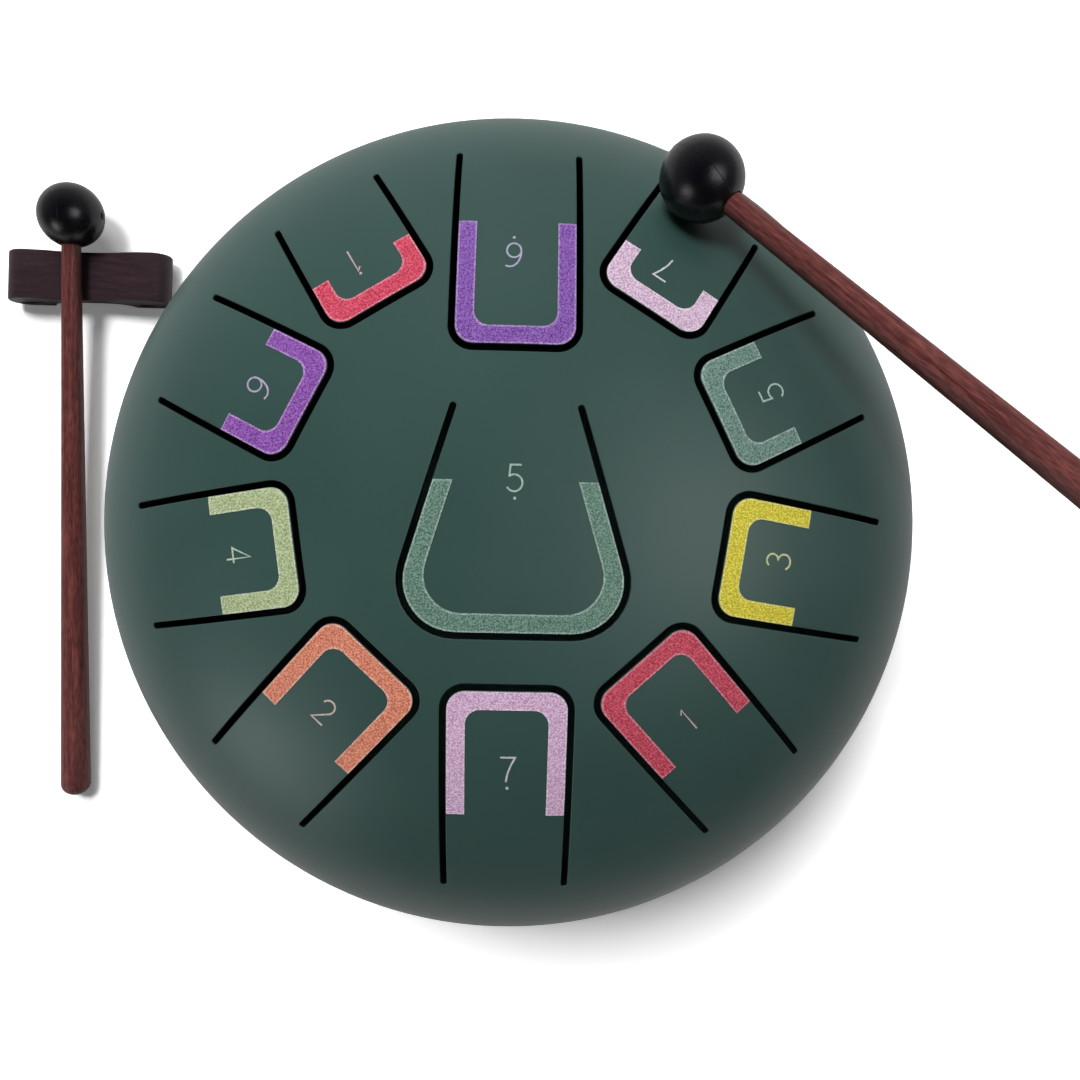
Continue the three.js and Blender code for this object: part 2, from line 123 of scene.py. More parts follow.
def dome_point(plan):
    radius = np.hypot(plan[:, 0], plan[:, 1])
    height = RIM_HEIGHT + DOME_RISE * np.cos(dome_angle(radius))
    return np.column_stack([plan, height])


def dome_normal(plan):
    radius = np.maximum(np.hypot(plan[:, 0], plan[:, 1]), TINY)
    share = np.clip(radius / RIM_RADIUS, 0, 1)
    outward = DOME_RISE * (DOME_POWER / 2) * share ** (DOME_POWER - 1) / RIM_RADIUS
    upward = np.sqrt(np.clip(1 - share ** DOME_POWER, 0, 1))
    length = np.hypot(outward, upward)
    across = plan / radius[:, None] * (outward / length)[:, None]
    return np.column_stack([across, upward / length])


# Lengths along the dome's curve from its top, so that the dome can be laid flat and back.
curve_angle = np.linspace(0, math.pi / 2, CURVE_SAMPLES)
curve_radius = RIM_RADIUS * np.sin(curve_angle) ** (2 / DOME_POWER)
curve_height = RIM_HEIGHT + DOME_RISE * np.cos(curve_angle)
curve_steps = np.hypot(np.diff(curve_radius), np.diff(curve_height))
curve_length = np.concatenate([[0], np.cumsum(curve_steps)])


def laid_flat(plan):
    radius = np.maximum(np.hypot(plan[:, 0], plan[:, 1]), TINY)
    length = np.interp(dome_angle(radius), curve_angle, curve_length)
    return plan * (length / radius)[:, None]


def back_on_dome(flat):
    length = np.maximum(np.hypot(flat[:, 0], flat[:, 1]), TINY)
    radius = np.interp(length, curve_length, curve_radius)
    return flat * (radius / length)[:, None]


def u_curve(tongue, inset, corner, end, arm_places):
    """Points and outward normals of a U inside the slot's centreline, from arm end to arm end."""
    spread = tongue["spread"]
    lean = math.cos(spread)

    def half(along):
        return tongue["half"] - inset / lean + (tongue["root"] - along) * math.tan(spread)

    centre_x = tongue["tip"] + inset + corner
    centre_y = half(centre_x) - corner / lean
    points, normals = [], []
    for k in range(BAR_STEPS + 1):
        points.append((centre_x - corner, centre_y * k / BAR_STEPS))
        normals.append((-1.0, 0.0))
    for k in range(1, BEND_STEPS + 1):
        angle = math.pi - (math.pi / 2 + spread) * k / BEND_STEPS
        points.append((centre_x + corner * math.cos(angle), centre_y + corner * math.sin(angle)))
        normals.append((math.cos(angle), math.sin(angle)))
    start = points[-1]
    for place in arm_places:
        along = start[0] + (end - start[0]) * place
        points.append((along, half(along)))
        normals.append((math.sin(spread), lean))
    upper, upper_normals = np.array(points), np.array(normals)
    mirror = np.array([1.0, -1.0])
    lower, lower_normals = upper[:0:-1] * mirror, upper_normals[:0:-1] * mirror
    return np.vstack([lower, upper]), np.vstack([lower_normals, upper_normals])


def turned_plan(tongue, points, is_place=True):
    sine, cosine = math.sin(tongue["turn"]), math.cos(tongue["turn"])
    turned = points @ np.array([[cosine, sine], [-sine, cosine]])
    return turned + np.array([tongue["shift"], 0.0]) if is_place else turned


def slot_edge(tongue, of_tongue):
    """Centres and away-from-the-metal directions for one edge of the slot, in the drum's plan."""
    arm_places = np.arange(1, ARM_STEPS + 1) / ARM_STEPS
    centres, normals = u_curve(tongue, 0, tongue["corner"], tongue["root"], arm_places)
    if of_tongue:
        return turned_plan(tongue, centres), turned_plan(tongue, -normals, False)
    arm = math.pi / 2 - tongue["spread"]
    turns = [-math.pi * k / END_STEPS for k in range(END_STEPS + 1)]
    first = np.array([(math.cos(t - math.pi - arm), math.sin(t - math.pi - arm)) for t in turns])
    last = np.array([(math.cos(arm + t), math.sin(arm + t)) for t in turns])
    around = np.vstack([first[:-1], normals, last[1:]])
    places = np.vstack([centres[:1]] * END_STEPS + [centres] + [centres[-1:]] * END_STEPS)
    return turned_plan(tongue, places), turned_plan(tongue, around, False)


def inside(points, loop):
    x, y = points[:, 0], points[:, 1]
    result = np.zeros(len(points), bool)
    for (x1, y1), (x2, y2) in zip(loop, np.roll(loop, -1, axis=0)):
        if y1 == y2:
            continue
        crosses = (y1 > y) != (y2 > y)
        result ^= crosses & (x < (x2 - x1) * (y - y1) / (y2 - y1) + x1)
    return result


def ring_points():
    rows = [np.zeros((1, 2))]
    count_rings = int(curve_length[-1] / MESH_STEP)
    for ring in range(1, count_rings):
        radius = ring * curve_length[-1] / count_rings
        count = int(2 * math.pi * radius / MESH_STEP)
        angles = 2 * math.pi * (np.arange(count) + 0.5 * (ring % 2)) / count
        rows.append(radius * np.column_stack([np.cos(angles), np.sin(angles)]))
    return np.vstack(rows)


def linked(name, data):
    """Puts a mesh, curve, lamp or camera in the scene as an object of its own at the origin."""
    made = bpy.data.objects.new(name, data)
    bpy.context.scene.collection.objects.link(made)
    return made


class Plate:
    """A piece of the dome's sheet: a fine triangle mesh with rounded edges and true normals."""

    def __init__(self):
        self.plan = np.zeros((0, 2))
        self.drop = np.zeros(0)
        self.normal = np.zeros((0, 3))
        self.faces = []
        self.loops = []

    def add(self, plan, drop, normal):
        first = len(self.plan)
        self.plan = np.vstack([self.plan, plan])
        self.drop = np.concatenate([self.drop, np.full(len(plan), drop)])
        self.normal = np.vstack([self.normal, normal])
        return list(range(first, first + len(plan)))

    def edge(self, rows, wall_direction, rounding, closed):
        """A rounded edge from the wall (first row) to the face (last row), with its wall."""
        ids = []
        for plan, degrees in zip(rows, ROUND_STEPS):
            turn = math.radians(degrees)
            up = dome_normal(plan)
            wall = wall_direction - up * np.sum(up * wall_direction, axis=1)[:, None]
            wall /= np.linalg.norm(wall, axis=1)[:, None]
            normal = up * math.sin(turn) + wall * math.cos(turn)
            ids.append(self.add(plan, rounding * (1 - math.sin(turn)), normal))
        count = len(ids[0])
        for k in range(count if closed else count - 1):
            n = (k + 1) % count
            for a, b in zip(ids, ids[1:]):
                self.faces.append(("top", (a[k], a[n], b[n], b[k])))
                self.faces.append(("under", (a[k], a[n], b[n], b[k])))
            wall = wall_direction[k] + wall_direction[n]
            self.faces.append(("wall", (ids[0][k], ids[0][n]), wall))
        return ids

    def root(self, chain, direction):
        for a, b in zip(chain, chain[1:]):
            self.faces.append(("wall", (a, b), direction))

    def fill(self, keep, points):
        """Fills the face between the edges with triangles, on the dome laid flat."""
        border = np.array([index for loop in self.loops for index in loop])
        border_flat = laid_flat(self.plan)[border]
        apart = np.full(len(points), np.inf)
        for chunk in np.array_split(border_flat, len(border_flat) // BORDER_CHUNK + 1):
            gaps = np.linalg.norm(points[:, None, :] - chunk[None, :, :], axis=2)
            apart = np.minimum(apart, gaps.min(axis=1))
        inner = points[keep(points) & (apart > EDGE_CLEARANCE)]
        plan = back_on_dome(inner)
        inner_ids = self.add(plan, 0.0, dome_normal(plan))
        ids = list(border) + inner_ids
        place = {index: k for k, index in enumerate(ids)}
        flat = np.vstack([border_flat, inner])
        pairs = []
        for loop in self.loops:
            pairs += [(place[a], place[b]) for a, b in zip(loop, loop[1:] + loop[:1])]
        made = delaunay_2d_cdt([Vector(p) for p in flat], pairs, [], 0, SAME_PLACE, True)
        points_out, source = np.array([tuple(p) for p in made[0]]), made[3]
        corners = np.array([tuple(face) for face in made[2]])
        centres = points_out[corners].mean(axis=1)
        for corner in corners[keep(centres)]:
            face = tuple(ids[source[k][0]] for k in corner)
            self.faces.append(("top", face))
            self.faces.append(("under", face))

    def mesh(self, name, materials):
        top = dome_point(self.plan) - self.drop[:, None] * dome_normal(self.plan)
        under = dome_point(self.plan) - SHEET * dome_normal(self.plan)
        places = np.vstack([top, under]) * MM + AXIS
        count = len(top)
        polygons, normals, marks = [], [], []
        for face in self.faces:
            kind, corners = face[0], face[1]
            if kind == "top":
                loop_normals = [self.normal[c] for c in corners]
            elif kind == "under":
                flat = -dome_normal(self.plan[list(corners)])
                corners = tuple(c + count for c in corners)
                loop_normals = list(flat)
            else:
                wall = np.array(face[2]) / np.linalg.norm(face[2])
                a, b = corners
                corners = (a, b, b + count, a + count)
                loop_normals = [wall] * 4
            p = places[list(corners)]
            facing = np.cross(p[1] - p[0], p[-1] - p[0])
            if np.dot(facing, loop_normals[0]) < 0:
                corners, loop_normals = corners[::-1], loop_normals[::-1]
            polygons.append(corners)
            normals.extend(loop_normals)
            # Top faces take the paint. Walls and underside take the second material, whose near-black is
            # painted shade.
            marks.append(0 if kind == "top" else 1)
        data = bpy.data.meshes.new(name)
        data.from_pydata([tuple(p) for p in places], [], polygons)
        for material in materials:
            data.materials.append(material)
        data.polygons.foreach_set("material_index", marks)
        data.polygons.foreach_set("use_smooth", [True] * len(polygons))
        data.normals_split_custom_set([Vector(n).normalized() for n in normals])
        return linked(name, data)


def spatial(directions):
    return np.column_stack([directions, np.zeros(len(directions))])


# Where a Mix node that mixes colours keeps its two colours and its result.
COLOUR_A, COLOUR_B, COLOUR_RESULT = 6, 7, 2


def linear(red, green, blue):
    """A colour read off as 0 to 255 becomes the value that a shader takes."""
    shares = [value / 255 for value in (red, green, blue)]
    return tuple(s / 12.92 if s <= 0.04045 else ((s + 0.055) / 1.055) ** 2.4 for s in shares) + (1.0,)


def combined(tree, operation, *values):
    """The outcome of one Math node, whose values are numbers or sockets."""
    node = tree.nodes.new("ShaderNodeMath")
    node.operation = operation
    for socket, value in zip(node.inputs, values):
        if isinstance(value, bpy.types.NodeSocket):
            tree.links.new(value, socket)
        else:
            socket.default_value = value
    return node.outputs[0]


def ranged(tree, value, before=(0.0, 1.0), after=(0.0, 1.0)):
    """A value that is moved from one range to another."""
    node = tree.nodes.new("ShaderNodeMapRange")
    for title, number in zip(("From Min", "From Max", "To Min", "To Max"), before + after):
        node.inputs[title].default_value = number
    tree.links.new(value, node.inputs["Value"])
    return node.outputs["Result"]


def add_sockets(tree, side, *sockets):
    """Gives a node group its named inputs or outputs."""
    for title, kind in sockets:
        tree.interface.new_socket(name=title, in_out=side, socket_type="NodeSocket" + kind)


def grain_group():
    """Noise in object space that shades between two colours and gives a height."""
    group = bpy.data.node_groups.new("surface grain", "ShaderNodeTree")
    add_sockets(
        group, "INPUT", ("Scale", "Float"), ("Detail", "Float"), ("Contrast", "Float"),
        ("Dark Colour", "Color"), ("Light Colour", "Color"),
    )
    add_sockets(group, "OUTPUT", ("Colour", "Color"), ("Height", "Float"))
    nodes, links = group.nodes, group.links
    given, result = nodes.new("NodeGroupInput"), nodes.new("NodeGroupOutput")
    place, noise = nodes.new("ShaderNodeTexCoord"), nodes.new("ShaderNodeTexNoise")
    links.new(place.outputs["Object"], noise.inputs["Vector"])
    links.new(given.outputs["Scale"], noise.inputs["Scale"])
    links.new(given.outputs["Detail"], noise.inputs["Detail"])
    centred = combined(group, "SUBTRACT", noise.outputs["Fac"], 0.5)
    spread = combined(group, "MULTIPLY_ADD", centred, given.outputs["Contrast"], 0.5)
    spread.node.use_clamp = True
    mix = nodes.new("ShaderNodeMix")
    mix.data_type = "RGBA"
    links.new(spread, mix.inputs["Factor"])
    links.new(given.outputs["Dark Colour"], mix.inputs[COLOUR_A])
    links.new(given.outputs["Light Colour"], mix.inputs[COLOUR_B])
    links.new(mix.outputs[COLOUR_RESULT], result.inputs["Colour"])
    links.new(spread, result.inputs["Height"])
    return group


surface_grain = grain_group()


def grain_node(tree, scale, detail, contrast, dark=(0, 0, 0, 1), light=(1, 1, 1, 1)):
    node = tree.nodes.new("ShaderNodeGroup")
    node.node_tree = surface_grain
    node.inputs["Scale"].default_value = scale
    node.inputs["Detail"].default_value = detail
    node.inputs["Contrast"].default_value = contrast
    node.inputs["Dark Colour"].default_value = dark
    node.inputs["Light Colour"].default_value = light
    return node


def new_material(name, roughness, specular=0.5, metallic=0.0):
    material = bpy.data.materials.new(name)
    material.use_nodes = True
    shader = material.node_tree.nodes["Principled BSDF"]
    shader.inputs["Roughness"].default_value = roughness
    shader.inputs["Specular IOR Level"].default_value = specular
    shader.inputs["Metallic"].default_value = metallic
    return material, material.node_tree, shader


def add_bump(tree, shader, height, distance, strength):
    bump = tree.nodes.new("ShaderNodeBump")
    bump.inputs["Distance"].default_value = distance
    bump.inputs["Strength"].default_value = strength
    tree.links.new(height, bump.inputs["Height"])
    tree.links.new(bump.outputs["Normal"], shader.inputs["Normal"])


def vary_roughness(tree, shader, height, low_value, high_value):
    spread = ranged(tree, height, after=(low_value, high_value))
    tree.links.new(spread, shader.inputs["Roughness"])


def grainy_material(name, gloss, grain, colours, bump=None, fine=None, spread=None):
    """A material whose grain shades between two colours.

    gloss holds roughness, specular and metallic, and spread the roughness from dark to light.
    grain and fine hold scale, detail and contrast, where fine is a finer grain for the bump.
    bump holds distance and strength.
    """
    material, tree, shader = new_material(name, *gloss)
    coarse = grain_node(tree, *grain, *colours)
    tree.links.new(coarse.outputs["Colour"], shader.inputs["Base Color"])
    if bump:
        raised = grain_node(tree, *fine) if fine else coarse
        add_bump(tree, shader, raised.outputs["Height"], *bump)
    if spread:
        vary_roughness(tree, shader, coarse.outputs["Height"], *spread)
    return material


green_paint = grainy_material(
    "satin green paint", gloss=(0.4, 0.5), grain=(26.0, 3.0, 1.6),
    colours=(linear(47, 72, 67), linear(53, 79, 75)),
    bump=(0.00003, 0.35), fine=(900.0, 2.0, 1.0), spread=(0.38, 0.46),
)
# Near-black steel for the slot walls and the underside of the sheet. Its near-black is painted shade: it
# stands in for the dark seen in the slots and inside the drum.
slot_shade_steel = grainy_material(
    "near-black steel as slot shade", gloss=(0.7, 0.2), grain=(300.0, 3.0, 1.5),
    colours=(linear(8, 9, 9), linear(20, 22, 21)), bump=(0.0001, 0.4),
)
interior = ring_points()


def add_slot_side(plate, tongue, of_tongue):
    """One side of a slot: its rounded edge, and the line across the root that closes it."""
    centres, away = slot_edge(tongue, of_tongue)
    reaches = [SLOT_HALF + EDGE_ROUNDING * (1 - math.cos(math.radians(d))) for d in ROUND_STEPS]
    rows = [centres + away * reach for reach in reaches]
    ids = plate.edge(rows, spatial(-away), EDGE_ROUNDING, False)
    first, last = plate.plan[ids[-1][-1]], plate.plan[ids[-1][0]]
    count = int(np.linalg.norm(last - first) / MESH_STEP)
    across = np.array([first + (last - first) * k / count for k in range(1, count)])
    made = plate.add(across, 0.0, dome_normal(across))
    chain = [row[-1] for row in ids] + made + [row[0] for row in reversed(ids)]
    facing = turned_plan(tongue, np.array([[1.0 if of_tongue else -1.0, 0.0]]), False)
    plate.root(chain, spatial(facing)[0])
    plate.loops.append(ids[-1] + made)


shell = Plate()
hole_loops = []
for tongue in tongues:
    add_slot_side(shell, tongue, of_tongue=False)
    hole_loops.append(laid_flat(shell.plan[shell.loops[-1]]))

RIM_SIDES = 360
rim_angles = 2 * math.pi * np.arange(RIM_SIDES) / RIM_SIDES
rim_circle = np.column_stack([np.cos(rim_angles), np.sin(rim_angles)])
rim_rows = []
for degrees in ROUND_STEPS:
    back = SEAM_ROUNDING * (1 - math.cos(math.radians(degrees)))
    rim_rows.append(rim_circle * np.interp(curve_length[-1] - back, curve_length, curve_radius))
down = np.tile([0.0, 0.0, -1.0], (RIM_SIDES, 1))
rim_ids = shell.edge(rim_rows, down, SEAM_ROUNDING, True)
shell.loops.append(rim_ids[-1])
rim_flat = laid_flat(shell.plan[rim_ids[-1]])


def on_shell(points):
    keep = inside(points, rim_flat)
    for loop in hole_loops:
        keep &= ~inside(points, loop)
    return keep


shell.fill(on_shell, interior)
dome = shell.mesh("dome", [green_paint, slot_shade_steel])
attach(dome, "drum")
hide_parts("top_shell")

# The tongues: eleven blades of the same painted sheet. Each grows out of the dome at its
# root and is free round the other three sides.
BEND_LENGTH = 14.0


def dome_place(tongue, along):
    plan = turned_plan(tongue, np.array([[along, 0.0]]))
    return tuple(dome_point(plan)[0] * MM + AXIS)


for tongue in tongues:
    blade = Plate()
    add_slot_side(blade, tongue, of_tongue=True)
    blade_loop = laid_flat(blade.plan[blade.loops[0]])
    blade.fill(lambda points: inside(points, blade_loop), interior)
    piece = blade.mesh("blade_" + tongue["note"], [green_paint, slot_shade_steel])
    end = dome_place(tongue, tongue["root"] - BEND_LENGTH)
    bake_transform(piece)
    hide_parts("tongue_" + tongue["note"])

# The stickers: U-shaped bands of grainy vinyl film in the note's colour, each with a thin
# paler border. They are stuck to the tongues just inside the slots.
STICKER_BAND = 5.0
STICKER_MARGIN = 0.15
STICKER_REACH = 82.5
STICKER_INNER_CORNER = 4.0
MIDDLE_STICKER_END = 9.4
MIDDLE_INNER_CORNER = 10.0
FILM_LOW = 0.02
FILM_HIGH = 0.2
BORDER = 0.45
BAND_STEPS = 8
WHITE = (255, 255, 255)
NEAR_BLACK = (20, 20, 24)
FILM_COLOURS = {
    "low_5": ("green_film", (84, 124, 106)),
    "low_6": ("purple_film", (118, 62, 166)),
    "low_7": ("pink_film", (228, 182, 222)),
    "1": ("crimson_film", (206, 52, 76)),
    "2": ("orange_film", (230, 126, 92)),
    "3": ("yellow_film", (228, 212, 36)),
    "4": ("lime_film", (172, 190, 134)),
    "5": ("teal_film", (90, 128, 116)),
    "6": ("purple_film", (128, 60, 166)),
    "7": ("pale_pink_film", (222, 186, 216)),
    "high_1": ("red_film", (212, 46, 76)),
}


def tinted(colour, share, towards):
    return tuple(value + (goal - value) * share for value, goal in zip(colour, towards))


def film_material(note, colour, pale):
    body = tinted(colour, 0.3, WHITE) if pale else colour
    return grainy_material(
        ("border " if pale else "film ") + note, gloss=(0.5, 0.3), grain=(2200.0, 2.0, 4.2),
        colours=(linear(*tinted(body, 0.26, NEAR_BLACK)), linear(*tinted(body, 0.22, WHITE))),
        bump=(0.00008, 0.5), spread=(0.42, 0.62),
    )


def slab(name, grids, lower, upper, materials, marks=None):
    """A thin film on the dome from grids of plan points, closed round its edges."""
    places, polygons, indices = [], [], []
    for grid in grids:
        rows, columns = grid.shape[:2]
        plan = grid.reshape(-1, 2)
        first, count = len(places), rows * columns
        for lift in (upper, lower):
            lifted = dome_point(plan) + lift * dome_normal(plan)
            places.extend(lifted * MM + AXIS)
        turn = np.cross(grid[0, 1] - grid[0, 0], grid[1, 0] - grid[0, 0]) > 0

        def quad(a, b, c, d, mark, flip):
            polygons.append((a, b, c, d) if flip else (d, c, b, a))
            indices.append(mark)

        for r in range(rows - 1):
            for c in range(columns - 1):
                a = first + r * columns + c
                mark = marks(r, c, rows, columns) if marks else 0
                quad(a, a + 1, a + 1 + columns, a + columns, mark, turn)
                b = a + count
                quad(b, b + 1, b + 1 + columns, b + columns, mark, not turn)
        border = [(0, c) for c in range(columns - 1)]
        border += [(r, columns - 1) for r in range(rows - 1)]
        border += [(rows - 1, c) for c in range(columns - 1, 0, -1)]
        border += [(r, 0) for r in range(rows - 1, 0, -1)]
        rim = [first + r * columns + c for r, c in border]
        for a, b in zip(rim, rim[1:] + rim[:1]):
            quad(a, b, b + count, a + count, len(materials) - 1, not turn)
    return smooth_piece(name, places, polygons, materials, indices)


def smooth_piece(name, places, polygons, materials, indices=None, sharp=40.0):
    data = bpy.data.meshes.new(name)
    data.from_pydata([tuple(p) for p in places], [], polygons)
    for material in materials:
        data.materials.append(material)
    if indices:
        data.polygons.foreach_set("material_index", indices)
    data.shade_smooth()
    data.set_sharp_from_angle(angle=math.radians(sharp))
    return linked(name, data)


def is_border(row, column, rows, columns):
    return int(row in (0, rows - 2) or column in (0, columns - 2))


for tongue in tongues:
    note = tongue["note"]
    slot_name, colour = FILM_COLOURS[note]
    middle = tongue["spread"] > 0
    outside = SLOT_HALF + STICKER_MARGIN
    inner = outside + STICKER_BAND
    arm_middle = tongue["half"] - outside - STICKER_BAND / 2
    end = MIDDLE_STICKER_END if middle else math.sqrt(STICKER_REACH ** 2 - arm_middle ** 2)
    arm_length = end - tongue["tip"] - tongue["corner"]
    whole = 1 - BORDER / arm_length
    places = [k / BAND_STEPS * whole for k in range(1, BAND_STEPS + 1)] + [1.0]
    outer_points, _ = u_curve(tongue, outside, tongue["corner"] - outside, end, places)
    inner_corner = MIDDLE_INNER_CORNER if middle else STICKER_INNER_CORNER
    inner_points, _ = u_curve(tongue, inner, inner_corner, end, places)
    shares = (0.0, BORDER / STICKER_BAND, 0.5, 1 - BORDER / STICKER_BAND, 1.0)
    grid = np.array([
        turned_plan(tongue, outer_points + (inner_points - outer_points) * share) for share in shares
    ])
    films = [film_material(note, colour, False), film_material(note, colour, True)]
    piece = slab("band_" + note, [grid], FILM_LOW, FILM_HIGH, films, is_border)
    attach(piece, body_of_note(note))
    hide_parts("sticker_" + note)

# The digits: thin pale strokes printed on the tongues, one plain number each, with a dot
# below for a low note and above for a high one. On the outer tongues their tops point to
# the drum's middle.
DIGIT_HEIGHT = 7.0
STROKE = 0.5
DOT_RADIUS = 0.42
DOT_GAP = 1.8
HIGH_DOT_GAP = 1.0
INK_LOW = -0.02
INK_HIGH = 0.05
DIGIT_WIDTH = 0.62
DOT_SIDES = 20
PALE_INK = (206, 218, 214)
WORN_INK = (60, 84, 78)
DIGIT_PLACES = {
    "low_5": (0.8, 10.1), "low_6": (-0.9, 71.3), "low_7": (0.4, -68.1), "1": (49.4, -54.0),
    "2": (-49.2, -53.5), "3": (73.3, -10.1), "4": (-73.6, -11.6), "5": (70.9, 36.1),
    "6": (-69.4, 34.0), "7": (41.0, 69.6), "high_1": (-44.9, 69.6),
}


def arc(x, y, across, tall, start, stop, steps=16):
    turns = [math.radians(start + (stop - start) * k / steps) for k in range(steps + 1)]
    return [(x + across * math.cos(t), y + tall * math.sin(t)) for t in turns]


# Strokes in a box one high and DIGIT_WIDTH wide, from its lower left corner.
DIGIT_STROKES = {
    "1": [[(0.2, 0.85), (0.34, 1.0), (0.34, 0.0)]],
    "2": [arc(0.3, 0.72, 0.27, 0.28, 170, -32) + [(0.03, 0.0), (0.6, 0.0)]],
    "3": [arc(0.28, 0.76, 0.25, 0.24, 150, -80), arc(0.28, 0.27, 0.3, 0.27, 85, -155)],
    "4": [[(0.46, 0.0), (0.46, 1.0), (0.03, 0.28), (0.62, 0.28)]],
    "5": [[(0.54, 1.0), (0.13, 1.0), (0.09, 0.55)], arc(0.28, 0.32, 0.31, 0.32, 130, -150)],
    "6": [arc(0.3, 0.3, 0.28, 0.3, 0, 360, 28), arc(0.46, 0.34, 0.44, 0.65, 180, 68)],
    "7": [[(0.03, 1.0), (0.6, 1.0), (0.44, 0.68), (0.32, 0.36), (0.26, 0.0)]],
}


def ribbon(line, width):
    """A strip of even width along a line, with its corners mitred."""
    steps = np.diff(line, axis=0)
    steps /= np.linalg.norm(steps, axis=1)[:, None]
    sides = np.column_stack([-steps[:, 1], steps[:, 0]])
    before, after = np.vstack([sides[:1], sides]), np.vstack([sides, sides[-1:]])
    mitre = before + after
    mitre /= np.maximum(np.sum(mitre * after, axis=1), 0.5)[:, None]
    return np.array([line + mitre * width / 2, line - mitre * width / 2])


def disc(x, y, radius):
    """A round dot, as a strip between its upper and its lower half."""
    turns = [math.pi * (2 * k + 1) / DOT_SIDES for k in range(DOT_SIDES // 2)]
    halves = [[(math.cos(t), side * math.sin(t)) for t in turns] for side in (1, -1)]
    return np.array(halves) * radius + (x, y)


def ink_material(note, colour):
    ink = tinted(colour, 0.7, PALE_INK)
    return grainy_material(
        "ink " + note, gloss=(0.55, 0.3), grain=(1500.0, 2.0, 2.2),
        colours=(linear(*tinted(ink, 0.3, WORN_INK)), linear(*ink)), bump=(0.00003, 0.3),
    )


for tongue in tongues:
    note = tongue["note"]
    facing = 1.0 if tongue["spread"] > 0 else -1.0
    up = facing * np.array([math.cos(tongue["turn"]), math.sin(tongue["turn"])])
    right = np.array([up[1], -up[0]])
    grids = []
    for stroke in DIGIT_STROKES[note[-1]]:
        line = (np.array(stroke) - (DIGIT_WIDTH / 2, 0.5)) * DIGIT_HEIGHT
        grids.append(ribbon(line, STROKE))
    if note.startswith("low"):
        grids.append(disc(0.0, -DIGIT_HEIGHT / 2 - DOT_GAP, DOT_RADIUS))
    if note.startswith("high"):
        grids.append(disc(0.0, DIGIT_HEIGHT / 2 + HIGH_DOT_GAP, DOT_RADIUS))
    placed = [DIGIT_PLACES[note] + grid[..., :1] * right + grid[..., 1:] * up for grid in grids]
    slot_name, colour = FILM_COLOURS[note]
    piece = slab("digit_" + note, placed, INK_LOW, INK_HIGH, [ink_material(note, colour)])
    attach(piece, body_of_note(note))

# The bowl: the lower steel pressing, painted like the dome and joined to it at the rim, with
# a flat base and a round sound hole in the middle.
BOWL_FLAT_RADIUS = 78.0
SOUND_HOLE_RADIUS = 29.0
BASE_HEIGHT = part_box("bottom_shell")[0][2] / MM
BOWL_SIDES = 240
BOWL_RINGS = 48
HOLE_ROUNDING = 0.6


def spun(profile, sides, flats=()):
    """Places and faces of a shape of revolution; flats turns chosen rings into hexagons."""
    places, polygons = [], []
    for ring, (radius, height) in enumerate(profile):
        for k in range(sides):
            turn = 2 * math.pi * k / sides
            reach = radius
            if ring in flats:
                from_flat = turn % (math.pi / 3) - math.pi / 6
                reach = radius * math.cos(math.pi / 6) / math.cos(from_flat)
            places.append((reach * math.cos(turn), reach * math.sin(turn), height))
    for ring in range(len(profile)):
        following = (ring + 1) % len(profile)
        for k in range(sides):
            n = (k + 1) % sides
            a, b = ring * sides, following * sides
            polygons.append((a + k, a + n, b + n, b + k))
    return np.array(places), polygons


def bowl_profile():
    quarter = [math.pi / 2 * k / BOWL_RINGS for k in range(BOWL_RINGS + 1)]

    def curve(inset):
        return [
            (BOWL_FLAT_RADIUS + (RIM_RADIUS - inset - BOWL_FLAT_RADIUS) * math.sin(a),
             RIM_HEIGHT - (RIM_HEIGHT - BASE_HEIGHT - inset) * math.cos(a))
            for a in quarter
        ]

    turns = [math.radians(degrees) for degrees in ROUND_STEPS]
    lip = [
        (RIM_RADIUS - SEAM_ROUNDING * (1 - math.sin(turn)),
         RIM_HEIGHT - SEAM_ROUNDING * (1 - math.cos(turn)))
        for turn in reversed(turns)
    ]
    hole = [
        (SOUND_HOLE_RADIUS + HOLE_ROUNDING * (1 - math.cos(turn)),
         BASE_HEIGHT + HOLE_ROUNDING * (1 - math.sin(turn)))
        for turn in turns
    ]
    outside = [point for point in curve(0)[:-1] if point[1] < RIM_HEIGHT - SEAM_ROUNDING]
    hole_top = [(SOUND_HOLE_RADIUS, BASE_HEIGHT + SHEET)]
    flat_radii = np.linspace(SOUND_HOLE_RADIUS, BOWL_FLAT_RADIUS, 9)[1:-1]
    flat = [(radius, BASE_HEIGHT) for radius in flat_radii]
    return hole + flat + outside + lip + curve(SHEET)[::-1] + hole_top


bowl_places, bowl_faces = spun(bowl_profile(), BOWL_SIDES)
bowl = smooth_piece("bowl", bowl_places * MM + AXIS, bowl_faces, [green_paint])
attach(bowl, "drum")
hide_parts("bottom_shell")

# The feet: three moulded rubber buttons under the base, each held by a socket screw from
# below and a hexagon nut inside the drum. One tree of geometry nodes sets each kind out.
FOOT_COUNT = 3
SHARP_EDGE = 35.0
foot_low, foot_high = (np.array(corner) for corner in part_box("foot_1"))
foot_middle = (foot_low + foot_high) / 2
FOOT_RING = math.hypot(foot_middle[0] - AXIS_X, foot_middle[1])
FOOT_RADIUS = (foot_high[0] - foot_low[0]) / 2 / MM


